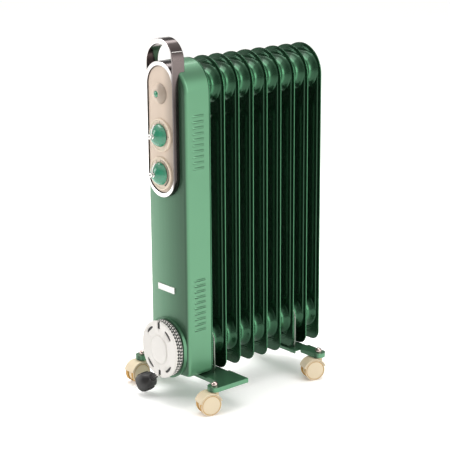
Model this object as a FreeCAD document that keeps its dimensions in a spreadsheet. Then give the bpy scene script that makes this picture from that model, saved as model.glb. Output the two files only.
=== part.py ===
import FreeCAD, Part
import math
import os
import Sketcher

# Oil filled radiator heater: nine fins in a row along Y, a control housing in front of the first fin,
# a loop handle, a cord winder, and two feet on four twin-wheel casters. Millimetres, +Z up, front towards -Y.
# Every piece is drawn with the first fin's mid plane at Y = 0 and is then moved by first_fin_y, which puts
# the origin on the floor under the middle of the heater.

SIZES = {
    "first_fin_y": -90, "over": 1,
    "fin_pitch": 34, "fin_half": 55, "fin_low": 50, "fin_high": 636, "fin_corner": 20,
    "web": 1.6, "press_inset": 7, "press_width": 5, "press_low": 62, "wall": 1, "cover_wall": 1.6,
    "channel_x": 27, "channel_half": 15, "channel_depth": 10, "channel_low": 143, "channel_high": 533,
    "header_low": 107, "header_high": 587, "header_half": 47, "header_radius": 35,
    "flange_radius": 30, "flange_front": 13, "flange_thick": 6, "gasket_thick": 2, "port_radius": 22,
    "rod_radius": 4, "rod_spread": 12, "rod_rise": 8, "rod_reach": 225, "rod_front": 20, "rod_short": 60,
    "cover_back": 2.2, "cover_front": 61, "cover_low": 55, "crown_radius": 236, "cover_edge": 8,
    "vent_length": 25, "vent_height": 3, "vent_pitch": 10.5, "vent_front": 39.5,
    "vent_top": 542, "vent_middle": 240, "shield_y": 14.5,
    "frame_half": 39.3, "frame_low": 391, "frame_high": 676, "frame_front": 69, "frame_back": 57,
    "loop_back": 43, "loop_low": 612.4, "loop_inside": 666.5, "bar_radius": 43.2,
    "panel_half": 35.3, "panel_low": 399, "panel_high": 628, "gap": 0.3,
    "fascia_front": 67.2, "fascia_back": 50, "fascia_wall": 2.4,
    "lamp_z": 577, "lamp_hole": 4, "lamp_radius": 3, "lamp_length": 14,
    "dome_half": 19, "dome_rise": 7, "dome_hole": 6.5, "lens_radius": 6.4, "lens_ball": 9.5,
    "selector_z": 504, "thermostat_z": 434.5, "pointer_turn": -15,
    "dial_radius": 30, "dial_front": 71, "dial_slope": 1.5, "dial_recess": 1.2, "recess_gap": 2,
    "knob_radius": 21, "knob_back": 72, "knob_dome": 87, "rib_half": 1.8, "rib_rise": 1.2, "rib_over": 2,
    "finial_radius": 4.5, "finial_tip": 97, "finial_neck": 3.2, "finial_seat": 3,
    "shaft_radius": 3, "shaft_depth": 7, "shaft_back": 38, "running": 0.05,
    "switch_half": 15, "switch_depth": 20, "unit_half": 13, "unit_depth": 24, "bush_radius": 5,
    "cutout_z": 330, "cutout_radius": 8, "tilt_z": 180, "tilt_half": 14, "tilt_tall": 26,
    "block_z": 240, "block_half": 20, "block_tall": 22, "block_depth": 16, "wire_radius": 1.5, "wire_y": 28,
    "badge_z": 218, "badge_half": 23.5, "badge_height": 12, "badge_thick": 1.6,
    "winder_z": 104, "winder_half": 50, "winder_tall": 54, "disc_front": 81.5, "disc_back": 77,
    "base_half": 50, "base_tall": 58, "base_front": 62.6, "core_half": 28.5, "layers": 3,
    "notch": 7, "notch_depth": 14, "gland_length": 24, "gland_root": 6.5, "gland_tip": 4.2, "cord_radius": 3.5,
    "plug_radius": 18, "plug_length": 44, "pin_radius": 2.4, "pin_length": 19, "pin_spread": 9.5,
    "foot_half": 121, "foot_step": 64, "foot_top": 52.5, "foot_deck": 50, "foot_low": 44, "sheet": 2,
    "foot_shift": -3, "tab_radius": 13,
    "front_foot_y": -20.7, "front_foot_end": 32.9, "rear_foot_y": 198, "rear_foot_end": 237,
    "caster_x": 108, "caster_front_y": -37, "caster_rear_y": 224,
    "bolt_radius": 2.25, "bolt_front_y": 8.5, "bolt_rear_y": 212.5, "bolt_end": 38,
    "nut_radius": 4.8, "nut_tall": 6, "wing_half": 11, "wing_thick": 2, "wing_tall": 5.5,
    "dome_nut_radius": 6.5, "dome_ball": 6.2, "dome_level": 2.5, "dome_skirt": 4,
    "stem_radius": 4, "stem_low": 28, "stem_high": 56.5, "wheel_radius": 20, "trail": 12,
    "wheel_inner": 5, "wheel_outer": 13, "axle_radius": 2, "hood_gap": 0.7, "hood_wall": 2, "hood_low": 26,
    "web_reach": 6, "web_high": 42, "boss_radius": 8, "boss_low": 40.9, "boss_top": 50, "socket_low": 27,
}
FINS = 9
VENTS = 10
# Each caster: its name, its side along X, its place along Y and how far its axle is turned from the X axis.
CASTERS = [("fr", 1, "caster_front_y", -15), ("fl", -1, "caster_front_y", 0),
           ("rr", 1, "caster_rear_y", -20), ("rl", -1, "caster_rear_y", 12)]

doc = FreeCAD.newDocument("radiator")
sheet = doc.addObject("Spreadsheet::Sheet", "Size")
for row, (alias, number) in enumerate(SIZES.items(), start=1):
    sheet.set(f"A{row}", str(number))
    sheet.setAlias(f"A{row}", alias)
doc.recompute()


class Size:
    """A length together with the sheet expression that gives it."""

    def __init__(self, value, text):
        self.value = float(value)
        self.text = text

    def __add__(self, other):
        other = as_size(other)
        return Size(self.value + other.value, f"({self.text} + {other.text})")

    def __sub__(self, other):
        other = as_size(other)
        return Size(self.value - other.value, f"({self.text} - {other.text})")

    def __mul__(self, other):
        other = as_size(other)
        return Size(self.value * other.value, f"({self.text} * {other.text})")

    def __truediv__(self, other):
        other = as_size(other)
        return Size(self.value / other.value, f"({self.text} / {other.text})")

    def __neg__(self):
        return Size(-self.value, f"(0 - {self.text})")

    __radd__ = __add__

    def __rsub__(self, other):
        return as_size(other) - self

    __rmul__ = __mul__


def as_size(value):
    return value if isinstance(value, Size) else Size(value, f"({value})")


class Sheet:
    """Gives each cell of the sheet by its alias."""

    def __getattr__(self, alias):
        return Size(getattr(sheet, alias), f"Size.{alias}")


S = Sheet()
PIECES = {}
AXES = {"X": FreeCAD.Rotation(FreeCAD.Vector(0, 1, 0), 90),
        "Y": FreeCAD.Rotation(FreeCAD.Vector(1, 0, 0), -90), "Z": FreeCAD.Rotation()}


# ---- Part primitives whose sizes and places follow the sheet ----

def bind(item, **sizes):
    for name, size in sizes.items():
        item.setExpression(name, as_size(size).text)


def place(item, x, y, z, rotation=FreeCAD.Rotation()):
    corner = [as_size(size) for size in (x, y, z)]
    item.Placement = FreeCAD.Placement(FreeCAD.Vector(*[size.value for size in corner]), rotation)
    for letter, size in zip("xyz", corner):
        item.setExpression(f"Placement.Base.{letter}", size.text)


def box(x, y, z):
    """A block between the pairs of limits x, y and z."""
    item = doc.addObject("Part::Box", "Block")
    low = [as_size(pair[0]) for pair in (x, y, z)]
    high = [as_size(pair[1]) for pair in (x, y, z)]
    bind(item, Length=high[0] - low[0], Width=high[1] - low[1], Height=high[2] - low[2])
    place(item, *low)
    return item


def rod(axis, x, y, z, radius, length):
    """A cylinder that starts at x, y, z and runs along +axis."""
    item = doc.addObject("Part::Cylinder", "Rod")
    bind(item, Radius=radius, Height=length)
    place(item, x, y, z, AXES[axis])
    return item


def cone(axis, x, y, z, start, end, length):
    item = doc.addObject("Part::Cone", "Taper")
    bind(item, Radius1=start, Radius2=end, Height=length)
    place(item, x, y, z, AXES[axis])
    return item


def ball(x, y, z, radius):
    item = doc.addObject("Part::Sphere", "Ball")
    bind(item, Radius=radius)
    place(item, x, y, z)
    return item


def fuse(*items):
    item = doc.addObject("Part::MultiFuse", "Joined")
    item.Shapes = list(items)
    item.Refine = True
    return item


def group(*items):
    """Separate solids of one node."""
    item = doc.addObject("Part::Compound", "Group")
    item.Links = list(items)
    return item


def cut(base, *tools):
    item = doc.addObject("Part::Cut", "Cut")
    item.Base = base
    item.Tool = tools[0] if len(tools) == 1 else fuse(*tools)
    return item


def common(base, tool):
    item = doc.addObject("Part::Common", "Shared")
    item.Base = base
    item.Tool = tool
    return item


def oblong(half, low, high, front, back):
    """An upright oblong prism: half wide each side of X = 0, from low to high and from front to back."""
    half, low, high, front, back = (as_size(size) for size in (half, low, high, front, back))
    depth = back - front
    return fuse(box((-half, half), (front, back), (low + half, high - half)),
                rod("Y", 0, front, low + half, half, depth), rod("Y", 0, front, high - half, half, depth))


# What is placed by its own sizes, and so can't be moved as a whole without a group round it.
PRIMITIVES = ("Part::Box", "Part::Cylinder", "Part::Cone")


def piece(name, item, x=0, y=0, angle=0):
    """Names a finished piece and moves it into the heater's own frame."""
    if item.TypeId in PRIMITIVES:
        item = group(item)
    item.Label = name
    place(item, x, S.first_fin_y + y, 0, FreeCAD.Rotation(FreeCAD.Vector(0, 0, 1), angle))
    PIECES[name] = item
    return item


# ---- Sketches and PartDesign bodies ----

def new_sketch(body, role, offset=0):
    """An empty sketch parallel to one of the body's own origin planes."""
    sketch = body.newObject("Sketcher::SketchObject", "Outline")
    plane = [feature for feature in body.Origin.OriginFeatures if feature.Role == role][0]
    sketch.AttachmentSupport = [(plane, "")]
    sketch.MapMode = "FlatFace"
    sketch.setExpression("AttachmentOffset.Base.z", as_size(offset).text)
    return sketch


def fix(sketch, kind, geometry, size):
    size = as_size(size)
    number = sketch.addConstraint(Sketcher.Constraint(kind, *geometry, size.value))
    sketch.setExpression(f"Constraints[{number}]", size.text)


def draw_line(sketch, start, end):
    return sketch.addGeometry(Part.LineSegment(FreeCAD.Vector(*start, 0), FreeCAD.Vector(*end, 0)))


def draw_arc(sketch, centre, radius, start, end):
    circle = Part.Circle(FreeCAD.Vector(*centre, 0), FreeCAD.Vector(0, 0, 1), radius)
    return sketch.addGeometry(Part.ArcOfCircle(circle, math.radians(start), math.radians(end)))


def close(sketch, edges):
    for edge, after in zip(edges, edges[1:] + edges[:1]):
        sketch.addConstraint(Sketcher.Constraint("Tangent", edge, 2, after, 1))


def draw_arch(sketch, half, low, high, corner):
    """The fin's outline: straight sides under a half circle, and rounded corners at the bottom."""
    w, bottom, top, r = (as_size(size).value for size in (half, low, high, corner))
    base = draw_line(sketch, (r - w, bottom), (w - r, bottom))
    right_corner = draw_arc(sketch, (w - r, bottom + r), r, 270, 360)
    right = draw_line(sketch, (w, bottom + r), (w, top - w))
    crown = draw_arc(sketch, (0, top - w), w, 0, 180)
    left = draw_line(sketch, (-w, top - w), (-w, bottom + r))
    left_corner = draw_arc(sketch, (r - w, bottom + r), r, 180, 270)
    close(sketch, [base, right_corner, right, crown, left, left_corner])
    sketch.addConstraint(Sketcher.Constraint("Horizontal", base))
    sketch.addConstraint(Sketcher.Constraint("Vertical", right))
    sketch.addConstraint(Sketcher.Constraint("Vertical", left))
    sketch.addConstraint(Sketcher.Constraint("PointOnObject", crown, 3, -2))
    fix(sketch, "Radius", (crown,), half)
    fix(sketch, "Radius", (right_corner,), corner)
    fix(sketch, "Radius", (left_corner,), corner)
    fix(sketch, "DistanceY", (-1, 1, crown, 3), as_size(high) - half)
    fix(sketch, "DistanceY", (-1, 1, base, 1), low)


def draw_oblong(sketch, x, z, reach, radius, upright):
    """An oblong round x, z: reach is from its middle to its end, upright or lying along X."""
    x, z, reach, radius = (as_size(size) for size in (x, z, reach, radius))
    straight = reach - radius
    step = (0, straight.value) if upright else (straight.value, 0)
    turn = 90 if upright else 0
    first = (x.value + step[0], z.value + step[1])
    last = (x.value - step[0], z.value - step[1])
    side = (0, radius.value) if not upright else (-radius.value, 0)
    near_end = draw_arc(sketch, first, radius.value, turn - 90, turn + 90)
    one = draw_line(sketch, (first[0] + side[0], first[1] + side[1]), (last[0] + side[0], last[1] + side[1]))
    far_end = draw_arc(sketch, last, radius.value, turn + 90, turn + 270)
    two = draw_line(sketch, (last[0] - side[0], last[1] - side[1]), (first[0] - side[0], first[1] - side[1]))
    close(sketch, [near_end, one, far_end, two])
    fix(sketch, "Radius", (near_end,), radius)
    centres = ((near_end, x, z + straight), (far_end, x, z - straight))
    if not upright:
        centres = ((near_end, x + straight, z), (far_end, x - straight, z))
    for end, across, height in centres:
        fix(sketch, "DistanceX", (-1, 1, end, 3), across)
        fix(sketch, "DistanceY", (-1, 1, end, 3), height)


def draw_circle(sketch, x, z, radius):
    circle = Part.Circle(FreeCAD.Vector(as_size(x).value, as_size(z).value, 0),
                         FreeCAD.Vector(0, 0, 1), as_size(radius).value)
    edge = sketch.addGeometry(circle)
    fix(sketch, "Radius", (edge,), radius)
    fix(sketch, "DistanceX", (-1, 1, edge, 3), x)
    fix(sketch, "DistanceY", (-1, 1, edge, 3), z)


def extrude(body, kind, sketch, length, both_ways=False, reverse=False):
    """A Pad or Pocket of the sketch. A sketch on the XZ plane pads towards -Y and pockets towards +Y."""
    feature = body.newObject(f"PartDesign::{kind}", kind)
    feature.Profile = sketch
    feature.SideType = "Symmetric" if both_ways else "One side"
    feature.Reversed = reverse
    bind(feature, Length=length)
    sketch.Visibility = False
    return feature


# ---- Fins ----

def make_fin(number):
    """Two pressed sheets joined at a thin flat flange. Inside it they stand apart as an oblong, with two upright
    oil channels and a header bulge at top and bottom. Neighbouring fins' headers meet half way between them,
    and oil runs through all of them."""
    first, last = number == 0, number == FINS - 1
    half_pitch = S.fin_pitch / 2
    front = as_size(0) if first else half_pitch
    back = as_size(0) if last else half_pitch
    channel_middle = (S.channel_low + S.channel_high) / 2
    channel_reach = (S.channel_high - S.channel_low) / 2
    body = doc.addObject("PartDesign::Body", "Fin")
    web = new_sketch(body, "XZ_Plane")
    draw_arch(web, S.fin_half, S.fin_low, S.fin_high, S.fin_corner)
    extrude(body, "Pad", web, S.web, both_ways=True)
    press = new_sketch(body, "XZ_Plane")
    press_high = S.fin_high - S.press_inset
    draw_oblong(press, 0, (S.press_low + press_high) / 2, (press_high - S.press_low) / 2,
                S.fin_half - S.press_inset, True)
    extrude(body, "Pad", press, S.press_width, both_ways=True)
    for side in (-1, 1):
        channel = new_sketch(body, "XZ_Plane")
        draw_oblong(channel, S.channel_x * side, channel_middle, channel_reach, S.channel_half, True)
        extrude(body, "Pad", channel, S.channel_depth, both_ways=True)
    for height in (S.header_low, S.header_high):
        header = new_sketch(body, "XZ_Plane", -back)
        draw_oblong(header, 0, height, S.header_half, S.header_radius, False)
        extrude(body, "Pad", header, front + back)
    hollow = new_sketch(body, "XZ_Plane")
    draw_oblong(hollow, 0, (S.press_low + press_high) / 2, (press_high - S.press_low) / 2 - S.wall,
                S.fin_half - S.press_inset - S.wall, True)
    extrude(body, "Pocket", hollow, S.press_width - S.wall * 2, both_ways=True)
    for height in (S.header_low, S.header_high):
        start = -S.wall if first else front
        reach = S.fin_pitch if not (first or last) else half_pitch - S.wall
        bore = new_sketch(body, "XZ_Plane", start)
        draw_oblong(bore, 0, height, S.header_half - S.wall, S.header_radius - S.wall, False)
        extrude(body, "Pocket", bore, reach)
    for side in (-1, 1):
        passage = new_sketch(body, "XZ_Plane")
        inside = S.channel_half - S.wall
        draw_oblong(passage, S.channel_x * side, channel_middle, channel_reach - S.wall, inside, True)
        extrude(body, "Pocket", passage, S.channel_depth - S.wall * 2, both_ways=True)
    if first:
        port = new_sketch(body, "XZ_Plane", S.channel_depth)
        draw_circle(port, 0, S.header_low, S.port_radius)
        extrude(body, "Pocket", port, S.channel_depth * 2)
    body.Tip = body.Group[-1]
    piece(f"fin_{number}", body, y=S.fin_pitch * number)


# ---- Heating element ----

def make_element():
    """Two hairpin rods in the lower header, their ends sealed in a flange that is bolted on over a gasket."""
    middle = S.header_low
    hairpins = []
    for level, reach in ((S.rod_rise, S.rod_reach), (-S.rod_rise, S.rod_reach - S.rod_short)):
        legs = [rod("Y", S.rod_spread * side, -S.rod_front, middle + level, S.rod_radius, reach + S.rod_front)
                for side in (-1, 1)]
        bend = doc.addObject("Part::Torus", "Bend")
        bind(bend, Radius1=S.rod_spread, Radius2=S.rod_radius)
        bend.Angle3 = 180
        place(bend, 0, reach, middle + level)
        hairpins.append(fuse(*legs, bend))
    piece("heating_element", group(*hairpins))
    holes = [rod("Y", S.rod_spread * side, -S.rod_front, middle + S.rod_rise * level, S.rod_radius, S.rod_front)
             for side in (-1, 1) for level in (-1, 1)]
    flange = rod("Y", 0, -S.flange_front, middle, S.flange_radius, S.flange_thick)
    piece("element_flange", cut(flange, *holes))
    gasket_front = S.flange_thick - S.flange_front
    gasket = rod("Y", 0, gasket_front, middle, S.flange_radius, S.gasket_thick)
    piece("element_gasket", cut(gasket, rod("Y", 0, gasket_front - S.over, middle, S.port_radius,
                                            S.gasket_thick + S.over * 2)))


# ---- Housing ----

def make_cover_shell(inset):
    """The housing's outer form, or its inside when inset is the wall: an arch with a slightly crowned front
    and a rounded edge round it."""
    half = S.fin_half - inset
    low, high = S.cover_low + inset, S.fin_high - inset
    front, back = S.cover_front - inset, S.cover_back - inset
    corner = S.cover_edge - inset
    body = doc.addObject("PartDesign::Body", "Cover")
    outline = new_sketch(body, "XZ_Plane", back)
    draw_arch(outline, half, low, high, S.fin_corner / 2 - inset)
    extrude(body, "Pad", outline, front - back)
    bow = rod("Z", 0, S.crown_radius - front, 0, S.crown_radius, S.fin_high + S.over)
    crowned = common(body, bow)
    doc.recompute()
    rounded = doc.addObject("Part::Fillet", "Rounded")
    rounded.Base = crowned
    shallowest = -front.value * 0.8
    front_edges = [index for index, edge in enumerate(crowned.Shape.Edges, start=1)
                   if max(vertex.Y for vertex in edge.Vertexes) < shallowest]
    rounded.Edges = [(index, corner.value, corner.value) for index in front_edges]
    return rounded


def vent_blocks():
    blocks = []
    reach = S.fin_half + S.over
    for top in (S.vent_top, S.vent_middle):
        for row in range(VENTS):
            low = top - S.vent_pitch * row - S.vent_height
            blocks.append(box((-reach, reach), (-S.vent_front, -S.vent_front + S.vent_length),
                              (low, low + S.vent_height)))
    return blocks


def make_housing():
    """Steel cover with vents, a cut-out for the frame and a notch for the handle, and the heat shield."""
    shell = cut(make_cover_shell(as_size(0)), make_cover_shell(S.cover_wall))
    half = S.frame_half + S.gap
    window = oblong(half, S.frame_low - S.gap, S.frame_high, -S.frame_front, -S.fascia_back + S.over)
    notch = box((-half, half), (-S.frame_front, -S.loop_back + S.gap), (S.loop_low - S.gap, S.frame_high))
    piece("front_cover", cut(shell, window, notch, *vent_blocks()))
    body = doc.addObject("PartDesign::Body", "Shield")
    outline = new_sketch(body, "XZ_Plane", S.shield_y)
    inset = S.cover_wall
    draw_arch(outline, S.fin_half - inset, S.cover_low + inset, S.fin_high - inset, S.fin_corner / 2 - inset)
    draw_circle(outline, 0, S.header_low, S.flange_radius + S.recess_gap)
    extrude(body, "Pad", outline, S.cover_wall)
    piece("heat_shield", body)


# ---- Frame with the loop handle, fascia and indicator ----

def make_frame():
    """Chromed oblong frame round the panel. Its upper end stands above the housing as the loop handle."""
    ring = oblong(S.frame_half, S.frame_low, S.frame_high, -S.frame_front, -S.frame_back)
    deep = oblong(S.frame_half, S.frame_low, S.frame_high, -S.frame_front, -S.loop_back)
    above = box((-S.frame_half, S.frame_half), (-S.frame_front, -S.loop_back), (S.loop_low, S.frame_high))
    front, back = -S.frame_front - S.over, -S.loop_back + S.over
    window = oblong(S.panel_half, S.panel_low, S.panel_high, front, back)
    bar_centre = S.panel_high - S.panel_half
    grip = oblong(S.panel_half, bar_centre - S.panel_half, S.loop_inside, front, back)
    bar = rod("Y", 0, front, bar_centre, S.bar_radius, back - front)
    piece("chrome_frame", cut(fuse(ring, common(deep, above)), window, cut(grip, bar)))


def make_fascia():
    """Moulded panel with a shallow wall behind it, holes for the two shafts and for the lamp."""
    half, low, high = S.panel_half - S.gap, S.panel_low + S.gap, S.panel_high - S.gap
    skin = S.fascia_wall
    outside = oblong(half, low, high, -S.fascia_front, -S.fascia_back)
    inside = oblong(half - skin, low + skin, high - skin, -S.fascia_front + skin, -S.fascia_back + S.over)
    front, depth = -S.fascia_front - S.over, skin + S.over * 2
    bore = S.shaft_radius + S.running
    holes = [rod("Y", 0, front, height, bore, depth) for height in (S.selector_z, S.thermostat_z)]
    holes.append(rod("Y", 0, front, S.lamp_z, S.lamp_hole, depth))
    piece("fascia", cut(outside, inside, *holes))


def dome_cap(half, rise, tip, height):
    """A shallow dome round the Y axis at that height, with its tip at Y = -tip, and the radius of its ball."""
    radius = (half * half + rise * rise) / (rise * 2)
    cap = common(ball(0, radius - tip, height, radius), rod("Y", 0, -tip, height, half, rise))
    return cap, radius


def make_indicator():
    """A shallow dome with a green lens at its middle and a neon lamp behind it."""
    tip = S.fascia_front + S.dome_rise
    cap = dome_cap(S.dome_half, S.dome_rise, tip, S.lamp_z)[0]
    hole = rod("Y", 0, -tip - S.over, S.lamp_z, S.dome_hole, S.dome_rise + S.over * 2)
    piece("indicator_dome", cut(cap, hole))
    stem = rod("Y", 0, -S.fascia_front - S.lens_ball, S.lamp_z, S.lens_radius, S.lens_ball)
    piece("indicator_lens", common(ball(0, -S.fascia_front, S.lamp_z, S.lens_ball), stem))
    glass_front = S.gap - S.fascia_front
    piece("neon_lamp", fuse(rod("Y", 0, glass_front, S.lamp_z, S.lamp_radius, S.lamp_length),
                            ball(0, glass_front + S.lamp_length, S.lamp_z, S.lamp_radius)))


# ---- Knobs and the controls behind them ----

def make_dial(name, height):
    """A low ring with sloping sides, recessed for the knob."""
    ring = cone("Y", 0, -S.dial_front, height, S.dial_radius - S.dial_slope, S.dial_radius,
                S.dial_front - S.fascia_front)
    front, depth = -S.dial_front - S.over, S.dial_recess + S.over
    recess = rod("Y", 0, front, height, S.knob_radius + S.recess_gap, depth)
    bore = rod("Y", 0, front, height, S.shaft_radius + S.running, S.dial_front - S.fascia_front + S.over * 2)
    piece(f"{name}_dial", cut(ring, recess, bore))


def pointer_rib(height, radius):
    """A thin strip along the knob's dome from its tip to its rim, turned by pointer_turn from upright."""
    turn = math.radians(S.pointer_turn.value)
    tip = -S.knob_dome - S.rib_over
    rib = box((-S.rib_half, S.rib_half), (tip, -S.knob_back - S.gap), (0, S.knob_radius))
    place(rib, -S.rib_half * math.cos(turn), tip, height + S.rib_half * math.sin(turn),
          FreeCAD.Rotation(FreeCAD.Vector(0, 1, 0), S.pointer_turn.value))
    centre = radius - S.knob_dome
    skin = cut(ball(0, centre, height, radius + S.rib_rise), ball(0, centre, height, radius))
    return common(skin, rib)


def make_control(name, height):
    """Dial, domed knob on its shaft, and the chrome finial with its pointer rib."""
    make_dial(name, height)
    dome, radius = dome_cap(S.knob_radius, S.knob_dome - S.knob_back, S.knob_dome, height)
    shaft_end = S.knob_dome - S.shaft_depth
    socket = rod("Y", 0, -shaft_end, height, S.shaft_radius, shaft_end - S.knob_back + S.over)
    seat = rod("Y", 0, -S.knob_dome - S.over, height, S.finial_radius, S.finial_seat + S.over)
    piece(f"{name}_knob", cut(dome, socket, seat))
    centre = S.finial_radius - S.finial_tip
    tip = ball(0, centre, height, S.finial_radius)
    neck = rod("Y", 0, centre, height, S.finial_neck, -S.knob_dome - centre)
    foot = rod("Y", 0, -S.knob_dome, height, S.finial_radius, S.finial_seat)
    piece(f"{name}_pointer", fuse(tip, neck, foot, pointer_rib(height, radius)))
    piece(f"{name}_shaft", rod("Y", 0, -shaft_end, height, S.shaft_radius, shaft_end - S.shaft_back))


def make_switchgear():
    """What the knobs turn, and the safety parts and wires behind them, on the heat shield."""
    bush_front = S.fascia_wall * 2 - S.fascia_front
    for name, height, half, depth in (("selector_switch", S.selector_z, S.switch_half, S.switch_depth),
                                      ("thermostat_unit", S.thermostat_z, S.unit_half, S.unit_depth)):
        block = box((-half, half), (-S.fascia_back, depth - S.fascia_back), (height - half, height + half))
        bush = rod("Y", 0, bush_front, height, S.bush_radius, -S.fascia_back - bush_front)
        bore = rod("Y", 0, -S.fascia_front, height, S.shaft_radius + S.running, S.fascia_front - S.shaft_back)
        piece(name, cut(fuse(block, bush), bore))
    face = -S.shield_y - S.cover_wall
    cutout = rod("Y", 0, face - S.cutout_radius, S.cutout_z, S.cutout_radius, S.cutout_radius)
    piece("thermal_cutout", cutout)
    tilt_top, block_top = S.tilt_z + S.tilt_tall, S.block_z + S.block_tall
    piece("tilt_switch", box((-S.tilt_half, S.tilt_half), (face - S.tilt_half, face), (S.tilt_z, tilt_top)))
    block = box((-S.block_half, S.block_half), (face - S.block_depth, face), (S.block_z, block_top))
    piece("terminal_block", block)
    unit_low, unit_top = S.thermostat_z - S.unit_half, S.thermostat_z + S.unit_half
    runs = [(x, S.wire_y, block_top, unit_low) for x in (-11, -7, 7, 11)]
    runs += [(x, S.wire_y, unit_top, S.selector_z - S.switch_half) for x in (-6, 6)]
    runs += [(x, S.cutout_radius - face, tilt_top, S.block_z) for x in (-8, 0, 8)]
    wires = [rod("Z", x, -depth, low, S.wire_radius, high - low) for x, depth, low, high in runs]
    piece("wiring", group(*wires))


# ---- Badge and cord winder ----

def crowned_front(item):
    """Cuts a piece so that its back lies on the housing's crowned front."""
    return cut(item, rod("Z", 0, S.crown_radius - S.cover_front, 0, S.crown_radius, S.vent_middle))


def make_badge():
    low, high = S.badge_z - S.badge_height / 2, S.badge_z + S.badge_height / 2
    front = -S.cover_front - S.badge_thick
    plate = box((-S.badge_half, S.badge_half), (front, S.cover_edge / 2 - S.cover_front), (low, high))
    piece("badge_plate", crowned_front(plate))


def winder_oblong(half, tall, front, back):
    return oblong(half, S.winder_z - tall, S.winder_z + tall, front, back)


def core_oblong(layers, front, back):
    """The drum's own oblong, grown by that many layers of cord."""
    half = S.core_half + S.cord_radius * 2 * layers
    return winder_oblong(half, half + S.winder_tall - S.winder_half, front, back)


def make_winder():
    """A flanged drum on the front of the housing, closed by a white disc with two open notches."""
    base = winder_oblong(S.base_half, S.base_tall, -S.base_front, S.cover_edge - S.cover_front)
    piece("winder_base", crowned_front(base))
    core_top = S.winder_z + S.core_half + S.winder_tall - S.winder_half
    columns_back = S.cord_radius * 4 - S.disc_back
    gland_low = core_top - S.gland_length - S.gap * 2
    gland = [cone("Z", 0, S.cord_radius * 2 - S.disc_back, gland_low, S.gland_root, S.gland_tip, S.gland_length)
             for _ in range(2)]
    piece("cord_gland", gland[0])
    piece("winder_drum", cut(core_oblong(0, -S.disc_back, -S.base_front), gland[1]))
    disc = winder_oblong(S.winder_half, S.winder_tall, -S.disc_front, -S.disc_back)
    notches = []
    for side in (-1, 1):
        bottom = S.winder_z + (S.winder_tall - S.notch_depth) * side
        ends = sorted((bottom, S.winder_z + (S.winder_tall + S.over) * side), key=lambda size: size.value)
        notches.append(box((-S.notch / 2, S.notch / 2), (-S.disc_front - S.over, S.over - S.disc_back), ends))
    piece("winder_disc", cut(disc, *notches))
    coil = core_oblong(S.layers, -S.disc_back, columns_back)
    piece("cord_coil", cut(coil, core_oblong(0, -S.disc_back - S.over, columns_back + S.over)))


# ---- Cord tail and plug ----

TAIL = [(8.5, -73.5, 54.1), (-2, -73.5, 54), (-9, -73.5, 52.4), (-15.4, -73.9, 49.3), (-21.1, -74.3, 45.3)]


def bent_path(points):
    """Straight runs joined by tangent arcs, each as large as its two runs allow."""
    points = [FreeCAD.Vector(*point) for point in points]
    edges = []
    start = points[0]
    for before, corner, after in zip(points, points[1:], points[2:]):
        into, out = corner - before, after - corner
        turn = into.getAngle(out)
        reach = 0.45 * min(into.Length, out.Length)
        into.normalize()
        out.normalize()
        arc_start, arc_end = corner - into * reach, corner + out * reach
        radius = reach / math.tan(turn / 2)
        bisector = (out - into).normalize()
        middle = corner + bisector * (radius / math.cos(turn / 2) - radius)
        edges.append(Part.LineSegment(start, arc_start).toShape())
        edges.append(Part.Arc(arc_start, middle, arc_end).toShape())
        print(f"cord bend radius {radius:.1f} mm")
        start = arc_end
    edges.append(Part.LineSegment(start, points[-1]).toShape())
    return Part.Wire(edges)


def sweep(path, radius):
    start = path.OrderedEdges[0]
    ring = Part.Circle(start.valueAt(start.FirstParameter), start.tangentAt(start.FirstParameter), radius)
    tube = path.makePipeShell([Part.Wire([ring.toShape()])], True, True)
    share = tube.Volume / (math.pi * radius ** 2 * path.Length)
    print(f"tube {path.Length:.1f} mm long, volume {share:.3f} of section times length")
    return tube


def add_shape(name, shape, x=0, y=0):
    item = doc.addObject("Part::Feature", "Swept")
    item.Shape = shape
    return piece(name, item, x=x, y=y)


def make_cord():
    """The cord's tail runs from the lowest turn to the plug, which hangs under the winder."""
    add_shape("cord_tail", sweep(bent_path(TAIL), S.cord_radius.value))
    start = FreeCAD.Vector(*TAIL[-1])
    along = (start - FreeCAD.Vector(*TAIL[-2])).normalize()
    across = along.cross(FreeCAD.Vector(0, 0, 1)).normalize()
    radius, length = S.plug_radius.value, S.plug_length.value
    neck = Part.makeCone(radius * 0.45, radius, length * 0.4, start, along)
    grip = Part.makeCylinder(radius, length * 0.6, start + along * length * 0.4, along)
    add_shape("plug_body", neck.fuse(grip).removeSplitter())
    face = start + along * length
    pins = [Part.makeCylinder(S.pin_radius.value, S.pin_length.value,
                              face + across * S.pin_spread.value * side, along) for side in (-1, 1)]
    add_shape("plug_pins", Part.makeCompound(pins))


# ---- Feet and their fasteners ----

def foot_block(y, end, inset, low, step, deck, top):
    """A foot's outer form, or its inside when inset is the sheet: a low deck between two higher ends. The front
    foot's ends are as wide as its deck, the rear foot's are narrow tongues round the caster stems."""
    front = y == "front_foot_y"
    half = (S.foot_half - inset) if front else S.caster_x
    y, end = getattr(S, y) + inset, as_size(end) - inset
    blocks = [box((-step - S.sheet, step + S.sheet), (y, end), (low, deck))]
    end_y = y if front else S.caster_rear_y - S.tab_radius + inset
    for side in (-1, 1):
        limits = sorted((step * side, S.foot_shift + half * side), key=lambda size: size.value)
        blocks.append(box(limits, (end_y, end), (low, top)))
        if not front:
            blocks.append(rod("Z", caster_place(side), S.caster_rear_y, low, S.tab_radius - inset, top - low))
    return blocks


def caster_place(side):
    return S.foot_shift + S.caster_x * side


def tab_blocks(inset, low, top):
    """The front foot's rounded tabs, which carry its casters further forward than the fins."""
    blocks = []
    radius = S.tab_radius - inset
    for side in (-1, 1):
        x = caster_place(side)
        blocks.append(rod("Z", x, S.caster_front_y, low, radius, top - low))
        back = S.front_foot_y + S.sheet * 2
        blocks.append(box((x - radius, x + radius), (S.caster_front_y, back), (low, top)))
    return blocks


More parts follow.
